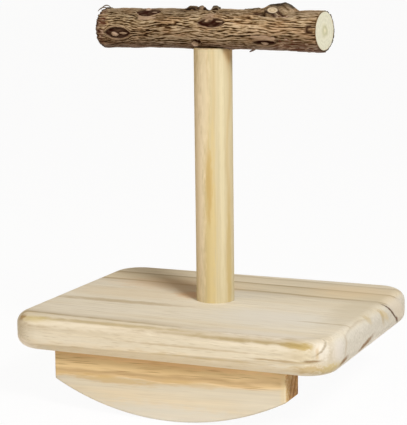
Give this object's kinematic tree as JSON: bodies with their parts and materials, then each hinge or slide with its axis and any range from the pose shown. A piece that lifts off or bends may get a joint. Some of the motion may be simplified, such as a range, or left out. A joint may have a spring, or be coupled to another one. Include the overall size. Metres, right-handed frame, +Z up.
{
  "type": "bird t-stand",
  "caption": "Rocking tabletop T-stand for a small bird: a bark-covered branch turns on a round pine post, on a rounded pine board over arc-bottomed rockers.",
  "frame": {"origin": "on the floor under the post's axis, at the middle of the board, where the rockers' lowest lines touch", "axes": "+Z up along the post, X along the board's long side, -Y towards the side the picture shows"},
  "size_m": [0.175, 0.14, 0.205],
  "materials": {
    "pine": "sanded, unfinished softwood",
    "beech_dowel": "fluted dowel stock, glued in",
    "branch_wood": "sawn branch wood",
    "bark": "natural furrowed bark",
    "zinc_screw": "bright zinc plate"
  },
  "bodies": {
    "stand": {"base_board": "pine", "front_rocker": "pine", "rear_rocker": "pine", "front_rocker_dowels": "beech_dowel", "rear_rocker_dowels": "beech_dowel", "post": "pine", "post_screw": "zinc_screw", "perch_screw": "zinc_screw", "perch_washer": "zinc_screw"},
    "perch": {"perch_wood": "branch_wood", "perch_bark": "bark"}
  },
  "joints": [
    {"name": "perch_swivel", "type": "hinge", "parent": "stand", "child": "perch", "pos_m": [0, 0, 0.182], "axis": [0, 0, 1], "continuous": true}
  ]
}
